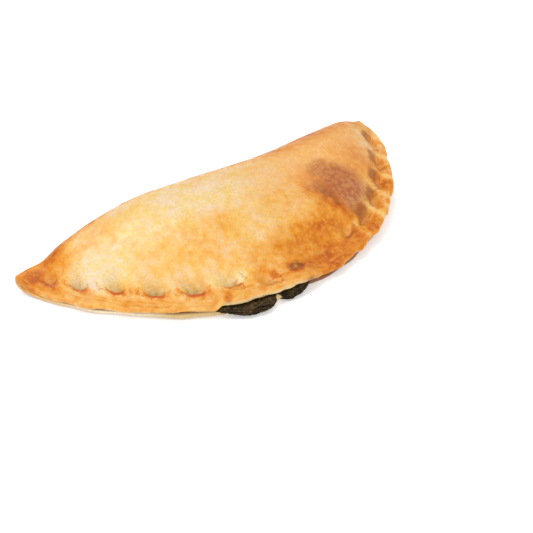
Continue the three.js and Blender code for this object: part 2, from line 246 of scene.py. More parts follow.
dough = {
    "length": 183,
    "depth": 75,
    "foldY": 36.727,  # where the fold lies in the shared frame
    "pointLeft": (0.42, 0, 0.66),  # how much, and the shares of the half length where it starts and is full
    "pointRight": (-0.06, 0.7, 1),
    "corner": (-0.15, 0.93, 1),  # the right end is blunt
    "cornerDip": (3, 0.92),
    "bulge": (0.025, 0.2, 0.6),  # fuller front on the right
    "bulgeEnd": (0.72, 0.92),
    "bow": 2.4,
    "bowLeft": 0.8,
    "crown": [7.8, 14.6, 23.8, 28.6, 28, 26, 24, 22.8, 23, 20.4, 14.8],  # heights from the left tip on
    "crownOver": 0.3,  # least height above the rim
    "neck": (0.85, 0.1, 1.9),  # where the fold dips behind the left tip, half how wide, and how deep
    "crownPlace": 0.33,
    "domePower": 1.8,
    "waist": 0.42,
    "foldRound": 0.16,
    "lump": 0.5,
    "lumpLong": 17,
    "lumpWide": 13,
    "lumpEnd": 14,
    "liftLeft": (3.6, 0.8),
    "liftRight": (9.4, 0.6),
    "fullWidth": 28,  # narrower parts near the tips have a narrower rim
    "tipRound": 0.08,
    "upperSheet": 2.8,
    "lowerSheet": 2.2,
    "lowerInset": 1.4,
    "flange": 9,
    "foot": 3.0,  # how softly the dome runs into the rim
    "rimLift": 0.4,
    "rimClimb": (6, 95, 165),  # between these degrees round the rim
    "rimRise": 22,
    "rimRiseShare": 0.6,
    "wallTop": 3.2,
    "wallBack": 3.2,
    "wallBase": 2.6,
    "pocketFrom": (0.26, 0.42),  # angles where the pocket opens and shuts
    "pocketTo": (2.68, 2.84),
    "pocketShut": 0.02,
    "pocketFront": 3,
    "paleFrom": (14, 45),  # mm of rim where the seam's side turns pale
    "ends": 0.15,
    "stations": 440,
    "lowerLip": (75, -90, 9),  # degrees and count of rings round each lip
    "upperLip": (78, -90, 11),
    "undersideRings": 20,
    "turnRings": 11,
    "crownRings": 34,
    "domeRings": 60,
    "domeCrowd": 1.45,  # closer rings towards the rim
    "flangeRings": 26,
    "seamRings": 9,
    "pocketRings": 11,
    "backRings": 8,
}

press = {
    "at": [6, 20, 33.5, 50, 66.5, 82.6, 97.5, 112, 127.5, 145.5, 162.5, 176.6, 190, 203, 216.7, 231.5],
    "inset": [7, 13, 11.4, 12.4, 11.8, 12.2, 11, 6.3, 8.8, 11, 10.4, 7, 6.8, 7, 6.6, 7.4],  # from the edge
    "half": [3, 4, 5, 5.4, 5.4, 5.6, 5.6, 4.4, 4.6, 5, 4.4, 6.6, 6.4, 6.4, 6.8, 7],
    "firm": [0.4, 0.5, 0.85, 0.9, 0.95, 1.05, 0.85, 0.75, 0.65, 0.3, 0.8, 1.0, 0.95, 0.9, 1.0, 0.9],
    "seed": 12,
    "widthVary": (0.92, 1.1),
    "endRoom": (12, 14),  # beyond the first and the last press
    "share": 0.52,  # of the way to the next press, at most
    "spread": 0.7,
    "spreadOpen": 0.25,
    "spreadSpan": (0.35, 1.05),
    "openFrom": 170,  # round the blunt end the presses lie open towards the rim
    "unevenAlong": 0.2,
    "unevenScale": 170.0,
    "inputs": {  # depth and lip in metres, the reaches and the unevenness in mm
        "Depth": 0.0026, "Lip": 0.0003, "Reach Out": 3.0, "Reach In": 5.6, "Open Out": 4.4, "Open In": 3.4,
        "Open Crease": 0.9, "Uneven": 0.9,
    },
    "overMouth": 0.7,
    "through": 0.62,  # how much of a press reaches the layers below
    "throughFloor": 0.3,
    "spans": {  # from a press's middle, in its own half widths
        "steep": (0.4, 1.05),
        "gentle": (0.0, 1.1),
        "openSteep": (0.68, 1.0),
        "sides": (0.0, 1.1),
        "lipIn": (0.9, 1.15),
        "lipOut": (1.15, 1.6),
        "creaseIn": (0.82, 0.98),
        "creaseOut": (1.15, 1.55),
        "openCreaseOut": (1.3, 2.1),
        "creaseSides": (0.45, 0.92),
        "openCreaseSides": (0.35, 0.8),
        "creaseWall": (-0.45, 0.15),
        "haloIn": (0.45, 1.15),
        "haloOut": (1.2, 2.2),
        "haloWall": (-0.8, 0.3),
        "shadeSides": (0.2, 0.9),
        "shadeWall": (-0.5, 0.6),
        "shadeOut": (0.85, 1.1),
        "ridgeSides": (0.7, 1.02),
        "ridgeInset": (10.0, 12.0),  # mm from the rim's edge
        "padSides": (0.4, 0.95),
        "padInset": (7.0, 9.5),  # mm from the rim's edge
    },
}

mouth = {  # where the seam is parted, in mm of rim from the left tip
    "from": 88,
    "to": 136,
    "easeLeft": 1.4,
    "easeRight": 10,
    "part": 2.8,  # how far the two layers part
    "lowerShare": 0.75,  # where they don't, the lower layer takes up this share of it
    "wide": (89.5, 126, 3, 14),  # from and to, and the ease at each end
    "lip": (102, 125, 9, 9),
    "lipBack": 6.5,
    "tabAt": 114,  # the shred of the lower layer
    "tabHalf": 4.8,
    "tabInset": 1.6,
    "tabRise": 1.3,
    "showFrom": 62,  # from here to the mouth more of the lower layer shows
    "showEase": (8, 8),
    "showThick": 1.0,
    "showOut": 0.8,
}

halfLength = dough["length"] / 2


def rimPlan(angle):
    along = np.cos(angle)
    power = 1 + grow(along, *dough["pointLeft"]) + grow(-along, *dough["pointRight"])
    power = power + grow(-along, *dough["corner"])
    swell = 1 + grow(-along, *dough["bulge"]) * (1 - ease(-along, *dough["bulgeEnd"]))
    return -halfLength * along, -dough["depth"] * np.sin(angle) ** power * swell - cornerDip(angle)


def cornerDip(angle):
    # the blunt end of the fold rounds off towards the front
    return endRise(-np.cos(angle), *dough["cornerDip"])


def foldPlan(angle):
    share = 0.5 * np.cos(angle) + 0.5 * (1 - 2 * angle / np.pi)
    bow = dough["bow"] * (1 - share ** 2) * (1 + dough["bowLeft"] * share)
    return -halfLength * share, bow - cornerDip(angle), share


tableAngle = np.linspace(0, np.pi, 4001)
tableX, tableY = rimPlan(tableAngle)
tableLength = np.concatenate([[0], np.cumsum(np.hypot(np.diff(tableX), np.diff(tableY)))])
rimLength = tableLength[-1]


def crownAt(share):
    # Catmull-Rom through evenly spaced heights
    heights = np.array(dough["crown"], float)
    padded = np.concatenate([[heights[0]], heights, [heights[-1]]])
    place = np.clip((1 - share) / 2, 0, 1) * (len(heights) - 1)
    i = np.minimum(place.astype(int), len(heights) - 2)
    t = place - i
    a, b, c, d = (padded[i + k] for k in range(4))
    line = b + 0.5 * t * (c - a + t * (2 * a - 5 * b + 4 * c - d + t * (3 * (b - c) + d - a)))
    neckAt, neckHalf, neckDip = dough["neck"]
    return line - neckDip * (1 - ease(np.abs(share - neckAt), 0, neckHalf))


def cutsAt(length):
    # one section of dough for each length along the rim
    angle = np.interp(length, tableLength, tableAngle)
    rimX, rimY = rimPlan(angle)
    foldX, foldY, share = foldPlan(angle)
    width = np.hypot(rimX - foldX, rimY - foldY)
    slim = np.minimum(1, width / dough["fullWidth"])
    base = endRise(share, *dough["liftLeft"]) + endRise(-share, *dough["liftRight"])
    under = np.maximum(dough["rimLift"] + grow(np.degrees(angle), *dough["rimClimb"]), base)
    part = mouth["part"] * within(length, *mouth["wide"])
    rimTop = under + dough["lowerSheet"] + part + dough["upperSheet"]
    crown = np.maximum(crownAt(share), rimTop + dough["crownOver"])
    tip = np.clip(np.minimum(angle, np.pi - angle) / dough["tipRound"], 0, 1)
    opening = ease(length - mouth["from"], 0, mouth["easeLeft"])
    opening = opening * ease(mouth["to"] - length, 0, mouth["easeRight"])
    back = within(length, *mouth["lip"]) * opening
    tab = 1 - ease(np.abs(length - mouth["tabAt"]), 0.5 * mouth["tabHalf"], mouth["tabHalf"])
    lipInset = mix(mix(dough["lowerInset"], mouth["lipBack"], back), mouth["tabInset"], tab)
    shown = within(length, mouth["showFrom"], mouth["from"], *mouth["showEase"])
    thicker = (mouth["showThick"] * shown + mouth["lowerShare"] * part) * (1 - opening)
    thinner = (mouth["showThick"] * shown - (1 - mouth["lowerShare"]) * part) * (1 - opening)
    return {
        "length": length, "foldX": foldX, "foldY": foldY,
        "outX": (rimX - foldX) / width, "outY": (rimY - foldY) / width,
        "width": width, "slim": slim, "filled": width - dough["flange"] * slim,
        "base": base, "under": under, "part": part, "rimTop": rimTop, "crown": crown,
        "waist": mix(base, crown, dough["waist"]), "round": np.sqrt(1 - (1 - tip) ** 2),
        "middle": under + (rimTop - under) / 2, "open": opening,
        "lipInset": lipInset - mouth["showOut"] * shown * (1 - back),
        "lowerThick": dough["lowerSheet"] + thicker + mouth["tabRise"] * tab,
        "upperThick": dough["upperSheet"] - thinner,
        "pocket": ease(angle, *dough["pocketFrom"]) * (1 - ease(angle, *dough["pocketTo"])),
    }


def topHeight(cut, reach):
    crownReach = dough["crownPlace"] * cut["filled"]
    back = 1 - np.clip(reach / crownReach, 0, 1)
    behind = mix(cut["waist"], cut["crown"], np.sqrt(1 - back ** 2))
    down = np.maximum((reach - crownReach) / (cut["filled"] - crownReach), 0)
    rise = (cut["crown"] - cut["rimTop"]) * (1 - down ** dough["domePower"])
    soft = dough["foot"] * cut["slim"]
    before = cut["rimTop"] + 0.5 * (rise + np.sqrt(rise ** 2 + soft ** 2))
    return np.where(reach < crownReach, behind, before)


def lumps(cut, reach):
    # low uneven swells over the dome, none at the rim
    x = cut["length"] / dough["lumpLong"]
    y = reach / dough["lumpWide"]
    share = ease(cut["filled"] - reach, 0, dough["lumpEnd"])
    return dough["lump"] * share * (np.sin(x + 1.1 * np.sin(y)) + 0.7 * np.sin(1.7 * y - 0.6 * x))


def baseHeight(cut, reach):
    inset = cut["width"] - reach
    rise = np.minimum(dough["rimRise"], dough["rimRiseShare"] * cut["width"])
    return mix(cut["base"], cut["under"], 1 - ease(inset, dough["lowerInset"] * cut["slim"], rise))


def place(cut, reach, height):
    z = cut["middle"] + (height - cut["middle"]) * cut["round"]
    x = cut["foldX"] + cut["outX"] * reach
    y = cut["foldY"] + cut["outY"] * reach + dough["foldY"]
    return np.stack([x, y, z], -1) * mm


def pressesAlong(length):
    # the nearest press to each place on the rim: how far along in half widths, its inset, strength and kind
    draw = np.random.default_rng(press["seed"])
    at = np.array(press["at"], float)
    before, after = press["endRoom"]
    room = np.minimum(np.diff(at, prepend=at[0] - before), np.diff(at, append=at[-1] + after))
    halves = np.array(press["half"]) * draw.uniform(*press["widthVary"], len(at))
    halves = np.minimum(room * press["share"], halves)
    away = (length[:, None] - at[None, :]) / halves[None, :]
    nearest = np.abs(away).argmin(1)
    openness = np.where(at < press["openFrom"], 0.0, 1.0)
    inset, firm = np.array(press["inset"]), np.array(press["firm"])
    return away[np.arange(len(length)), nearest], inset[nearest], firm[nearest], openness[nearest]


def upperRagged(s):
    return 0.28 * np.sin(s / 4.7 + 1) + 0.2 * np.sin(s / 2.3 + 0.4 + np.sin(s / 9)) + 0.12 * np.sin(s / 1.1)


def lowerRagged(s):
    return 0.5 * np.sin(s / 6.1 + 2) + 0.25 * np.sin(s / 2.7)


def foldedSheet():
    # rings of one sheet: lower lip, underside, fold, top, upper lip, and back along the inside
    s = np.linspace(dough["ends"], rimLength - dough["ends"], dough["stations"])
    cut = cutsAt(s)
    slim = cut["slim"]
    away, pressInset, strength, openness = pressesAlong(s)
    spread = mix(press["spread"], press["spreadOpen"], openness)
    spread = spread * (1 - ease(np.abs(away), *press["spreadSpan"]))
    edge = cut["width"] + slim * (spread + upperRagged(s))
    lowerEdge = cut["width"] + slim * lowerRagged(s)
    reaches, heights = [], []
    sides = {name: [] for name in ("crustSide", "underSide", "seamSide", "seamGroove", "pressPull")}

    def put(reach, height, **shares):
        # a ring follows a press as much as it is crust, unless pressPull says how much
        shares.setdefault("pressPull", shares.get("crustSide", 0.0))
        reaches.append(reach)
        heights.append(height)
        for name, rows in sides.items():
            rows.append(shares.get(name, 0.0) + 0 * s)

    def steps(count):
        return np.linspace(0, 1, count)

    lower = cut["lowerThick"] / 2
    lipEdge = lowerEdge - cut["lipInset"] * slim
    for turn in np.radians(np.linspace(*dough["lowerLip"])):
        put(lipEdge - lower * slim * (1 - np.cos(turn)), cut["under"] + lower * (1 + np.sin(turn)),
            underSide=0.5 * (turn < -0.8), seamSide=1, seamGroove=ease(turn, 0.2, 0.9))
    underTurn = dough["foldRound"] * cut["filled"]
    lipEnd = lipEdge - lower * slim
    for t in steps(dough["undersideRings"])[1:-1]:
        reach = mix(lipEnd, underTurn, t)
        put(reach, baseHeight(cut, reach), underSide=1)
    for turn in steps(dough["turnRings"])[:-1] * np.pi / 2:
        put(underTurn * (1 - np.sin(turn)), mix(cut["waist"], cut["base"], np.cos(turn)),
            underSide=np.cos(turn) ** 2, crustSide=np.sin(turn))
    crownReach = dough["crownPlace"] * cut["filled"]
    for turn in steps(dough["crownRings"])[:-1] * np.pi / 2:
        reach = crownReach * (1 - np.cos(turn))
        height = mix(cut["waist"], cut["crown"], np.sin(turn)) + lumps(cut, reach) * np.sin(turn)
        put(reach, height, crustSide=1)
    for t in 1 - (1 - steps(dough["domeRings"])[:-1]) ** dough["domeCrowd"]:
        reach = mix(crownReach, cut["filled"], t)
        put(reach, topHeight(cut, reach) + lumps(cut, reach), crustSide=1)
    upper = cut["upperThick"] / 2
    for inset in np.linspace(dough["flange"], dough["upperSheet"] / 2, dough["flangeRings"]):
        reach = mix(cut["width"], edge, ease(inset, dough["flange"], 1)) - inset * slim
        put(reach, topHeight(cut, reach), crustSide=1)
    lipStart = edge - upper * slim
    lipTop = topHeight(cut, lipStart)
    for turn in np.radians(np.linspace(*dough["upperLip"])):
        paleLip = mix(1 - ease(turn, -1.3, -0.5), 1 - ease(turn, -0.2, 1.05), cut["open"])
        put(edge - upper * slim * (1 - np.cos(turn)), lipTop - upper * (1 - np.sin(turn)),
            crustSide=ease(turn, -1.4, -0.2), seamSide=paleLip, seamGroove=1 - ease(turn, -1.5, -0.6))
    innerUp = lipTop - 2 * upper
    innerLow = cut["under"] + 2 * lower
    front = cut["filled"] - dough["pocketFront"] * slim
    crownBack = np.minimum(dough["wallBack"], 0.3 * cut["filled"])
    crownIn = np.maximum(crownReach, crownBack + 0.2 * cut["filled"])

    def ceiling(reach):
        shut = 0.5 * (topHeight(cut, reach) + baseHeight(cut, reach)) + dough["pocketShut"]
        return mix(shut, topHeight(cut, reach) - dough["wallTop"], cut["pocket"])

    def floor(reach):
        shut = 0.5 * (topHeight(cut, reach) + baseHeight(cut, reach)) - dough["pocketShut"]
        return mix(shut, baseHeight(cut, reach) + dough["wallBase"], cut["pocket"])

    inside = {"seamSide": 1, "pressPull": press["through"]}
    for t in steps(dough["seamRings"])[1:]:
        put(mix(lipStart, front, t), mix(innerUp, ceiling(front), ease(t, 0.3, 1)), **inside)
    for t in steps(dough["pocketRings"])[1:]:
        reach = mix(front, crownIn, t)
        put(reach, ceiling(reach), **inside)
    for turn in np.linspace(np.pi / 2, -np.pi / 2, dough["backRings"])[1:-1]:
        reach = mix(crownBack, crownIn, 1 - np.cos(turn))
        put(reach, mix(floor(crownIn), ceiling(crownIn), 0.5 + 0.5 * np.sin(turn)), seamSide=1)
    for t in steps(dough["pocketRings"])[:-1]:
        reach = mix(crownIn, front, t)
        put(reach, floor(reach), seamSide=1, pressPull=press["throughFloor"])
    for t in steps(dough["seamRings"])[:-1]:
        put(mix(front, lipEnd, t), mix(floor(front), innerLow, 1 - ease(1 - t, 0.3, 1)), **inside)

    made = loftObject("pastrySheet", np.stack([place(cut, r, h) for r, h in zip(reaches, heights)], 1))
    kept = {name: np.stack(rows, 1) for name, rows in sides.items()}
    kept["seamSide"] *= ease(s, *dough["paleFrom"])[:, None]
    kept["seamGroove"] *= 1 - cut["open"][:, None]
    kept["foldReach"] = np.stack(reaches, 1)
    kept["rimInset"] = cut["width"][:, None] - kept["foldReach"]
    kept["pressAcross"] = (cut["width"] - pressInset * slim)[:, None] - kept["foldReach"]
    overMouth = mix(1, press["overMouth"], cut["part"] / mouth["part"])
    wholeRing = {"pressAlong": away, "pressStrength": strength * overMouth * slim, "pressOpen": openness,
                 "alongRim": s / rimLength}
    for name, values in wholeRing.items():
        kept[name] = np.repeat(values[:, None], len(reaches), 1)
    for name, values in kept.items():
        tag(made.data, name, values)
    return made


def pressTree():
    # fingertip dents that repeat round the rim, with a small lip pushed up outside each
    takes = {"Geometry": "Geometry", **press["inputs"]}
    tree, given, out = newGroup("fingerPresses", "GeometryNodeTree", takes, {"Geometry": "Geometry"})

    def between(factor, a, b):
        return newNode(tree, "ShaderNodeMix", {0: factor, 2: a, 3: b}).outputs[0]

    def rising(value, span):
        return remap(tree, value, *press["spans"][span])

    def falling(value, span):
        return fade(tree, value, *press["spans"][span])

    def fallingEither(value, shutSpan, openSpan):
        ends = zip(press["spans"][shutSpan], press["spans"][openSpan])
        return fade(tree, value, *[between(opened, a, b) for a, b in ends])

    spot = newNode(tree, "GeometryNodeInputPosition").outputs[0]
    drift = wobble(tree, noise(tree, spot, press["unevenScale"], 1.0)["Color"], given["Uneven"])
    drift = newNode(tree, "ShaderNodeSeparateXYZ", {"Vector": drift}).outputs
    opened = tagged(tree, "pressOpen")
    firm = tagged(tree, "pressStrength")
    inset = tagged(tree, "rimInset")
    deeper = calc(tree, "ADD", tagged(tree, "pressAcross"), drift["X"])
    inner = calc(tree, "GREATER_THAN", deeper, 0.0)
    reach = between(inner, between(opened, given["Reach Out"], given["Open Out"]),
                    between(opened, given["Reach In"], given["Open In"]))
    across = calc(tree, "DIVIDE", deeper, reach)
    along = calc(tree, "MULTIPLY_ADD", drift["Y"], press["unevenAlong"], tagged(tree, "pressAlong"))
    away = calc(tree, "SQRT", calc(tree, "ADD", times(tree, along, along), times(tree, across, across)))
    beside = calc(tree, "ABSOLUTE", along)
    straight = calc(tree, "ABSOLUTE", across)
    # the wall towards the rim is steep and the other gentle, or the other way round in an open press
    gentleSide = between(opened, inner, calc(tree, "SUBTRACT", 1.0, inner))
    outer = calc(tree, "SUBTRACT", 1.0, gentleSide)
    openDent = between(gentleSide, falling(away, "openSteep"), falling(away, "gentle"))
    closedDent = between(gentleSide, falling(straight, "steep"), falling(straight, "gentle"))
    dent = between(opened, times(tree, closedDent, falling(beside, "sides")), openDent)
    lip = times(tree, rising(away, "lipIn"), falling(away, "lipOut"), outer, given["Lip"])
    down = times(tree, dent, given["Depth"])
    pulled = times(tree, firm, tagged(tree, "pressPull"))
    upward = times(tree, calc(tree, "SUBTRACT", lip, down), pulled)
    shift = newNode(tree, "ShaderNodeCombineXYZ", {"Z": upward})
    wallSide = between(opened, across, times(tree, across, -1.0))
    # in an open press this crease lies along the inner wall, where the crust paints shade
    crease = times(tree, rising(away, "creaseIn"), fallingEither(away, "creaseOut", "openCreaseOut"))
    crease = times(tree, crease, fallingEither(beside, "creaseSides", "openCreaseSides"))
    crease = times(tree, crease, falling(wallSide, "creaseWall"), between(opened, 1.0, given["Open Crease"]))
    halo = times(tree, rising(away, "haloIn"), falling(away, "haloOut"), falling(wallSide, "haloWall"))
    shade = times(tree, falling(beside, "shadeSides"), falling(wallSide, "shadeWall"))
    marks = {
        "dentShade": times(tree, shade, falling(away, "shadeOut"), pulled),
        "crease": times(tree, crease, firm),
        "halo": times(tree, halo, firm),
        "ridgeHighlight": times(tree, rising(beside, "ridgeSides"), falling(inset, "ridgeInset"), opened),
        "pad": times(tree, falling(beside, "padSides"), falling(inset, "padInset"), opened),
    }
    marked = given["Geometry"]
    for name, value in marks.items():
        sockets = {"Geometry": marked, "Name": name, "Value": value}
        made = newNode(tree, "GeometryNodeStoreNamedAttribute", sockets, data_type="FLOAT", domain="POINT")
        marked = made.outputs[0]
    tree.links.new(moveBy(tree, marked, shift.outputs[0]), out["Geometry"])
    return tree


relief = {
    "inputs": {  # lengths in metres, but the size of the wrinkles in mm
        "Swell": 0.00035, "Swell Size": 0.015, "Pucker": 0.00016, "Pucker Size": 0.0028,
        "Blister": 0.00016, "Blister Size": 0.004, "Wrinkle": 0.0003, "Wrinkle Size": 1.5, "Seed": 3.0,
    },
    "blisterSpan": (0.14, 0.3),
    "wrinkleDeep": 6.5,
    "wrinkleFrom": (3.0, 7.0),  # mm from the rim's edge
    "wrinkleTo": (11.0, 19.0),
    "seamShare": 0.35,
}


def reliefTree():
    # baked unevenness along the normal: broad swells, puckers, pin blisters, and wrinkles behind the rim
    takes = {"Geometry": "Geometry", **relief["inputs"], "Material": "Material"}
    tree, given, out = newGroup("bakedRelief", "GeometryNodeTree", takes, {"Geometry": "Geometry"})
    spot = newNode(tree, "GeometryNodeInputPosition").outputs[0]

    def uneven(size, detail):
        level = noise(tree, spot, calc(tree, "DIVIDE", 1.0, given[size]), detail, seed=given["Seed"])["Fac"]
        return calc(tree, "SUBTRACT", level, 0.5)

    swell = times(tree, uneven("Swell Size", 1.0), given["Swell"], 2.0)
    pucker = times(tree, uneven("Pucker Size", 2.0), given["Pucker"])
    blister = times(tree, remap(tree, uneven("Blister Size", 0.0), *relief["blisterSpan"]), given["Blister"])
    total = calc(tree, "ADD", calc(tree, "ADD", swell, pucker), blister)
    inset = tagged(tree, "rimInset")
    across = calc(tree, "DIVIDE", times(tree, tagged(tree, "alongRim"), rimLength), given["Wrinkle Size"])
    deep = calc(tree, "DIVIDE", inset, relief["wrinkleDeep"])
    spread = newNode(tree, "ShaderNodeCombineXYZ", {"X": across, "Y": deep}).outputs[0]
    wrinkle = calc(tree, "SUBTRACT", noise(tree, spread, 1.0, 2.0)["Fac"], 0.5)
    wrinkle = times(tree, wrinkle, remap(tree, inset, *relief["wrinkleFrom"]))
    wrinkle = times(tree, wrinkle, fade(tree, inset, *relief["wrinkleTo"]))
    total = calc(tree, "MULTIPLY_ADD", wrinkle, times(tree, given["Wrinkle"], 2.0), total)
    onSeam = times(tree, tagged(tree, "seamSide"), relief["seamShare"])
    share = calc(tree, "ADD", tagged(tree, "crustSide"), onSeam, clamp=True)
    normal = newNode(tree, "GeometryNodeInputNormal").outputs[0]
    shift = vectorCalc(tree, "SCALE", normal, scale=times(tree, total, share))
    finishTree(tree, moveBy(tree, given["Geometry"], shift), given["Material"], out)
    return tree


# shared shader groups

mottleLevels = {"Broad": (0.34, 0.66, 3.0), "Fleck": (0.32, 0.68, 3.0), "Grain": (0.25, 0.75, 2.0)}


def mottleGroup():
    # uneven baking: broad clouds, small flecks and fine grain, each from 0 to 1
    takes = {"Broad Size": 14.0, "Fleck Size": 3.0, "Grain Size": 0.7}
    tree, given, out = newGroup("bakedMottle", "ShaderNodeTree", takes, dict.fromkeys(mottleLevels, "Float"))
    spot = newNode(tree, "ShaderNodeTexCoord").outputs["Object"]
    for name, (low, high, detail) in mottleLevels.items():
        level = noise(tree, spot, calc(tree, "DIVIDE", 1000.0, given[name + " Size"]), detail)["Fac"]
        tree.links.new(remap(tree, level, low, high, smooth=False), out[name])
    return tree


def patchGroup():
    # one browned patch in plan, in mm, with a wandering edge
    takes = {"Centre": (0, 0, 0), "Half": (10, 10, 1), "Turn": 0.0, "Soft": 0.4, "Wander": 4.0}
    tree, given, out = newGroup("ovenPatch", "ShaderNodeTree", takes, {"Mask": "Float"})
    spot = newNode(tree, "ShaderNodeTexCoord").outputs["Object"]
    spot = vectorCalc(tree, "SCALE", spot, scale=1000.0)
    drift = wobble(tree, noise(tree, spot, 0.11, 4.0, rough=0.6)["Color"], given["Wander"])
    spot = vectorCalc(tree, "ADD", vectorCalc(tree, "SUBTRACT", spot, given["Centre"]), drift)
    sockets = {"Vector": spot, "Angle": given["Turn"]}
    turned = newNode(tree, "ShaderNodeVectorRotate", sockets, rotation_type="Z_AXIS").outputs[0]
    flat = vectorCalc(tree, "MULTIPLY", vectorCalc(tree, "DIVIDE", turned, given["Half"]), (1, 1, 0))
    low = calc(tree, "SUBTRACT", 1.0, given["Soft"])
    high = calc(tree, "ADD", 1.0, given["Soft"])
    tree.links.new(fade(tree, vectorCalc(tree, "LENGTH", flat), low, high), out["Mask"])
    return tree


bakedMottle = mottleGroup()
ovenPatch = patchGroup()
print("shared shader groups ready")


# the crust's finish; a patch is its place in plan, its half sizes, its turn, how soft its edge is and how far
# that wanders, and then its share; in mm and degrees

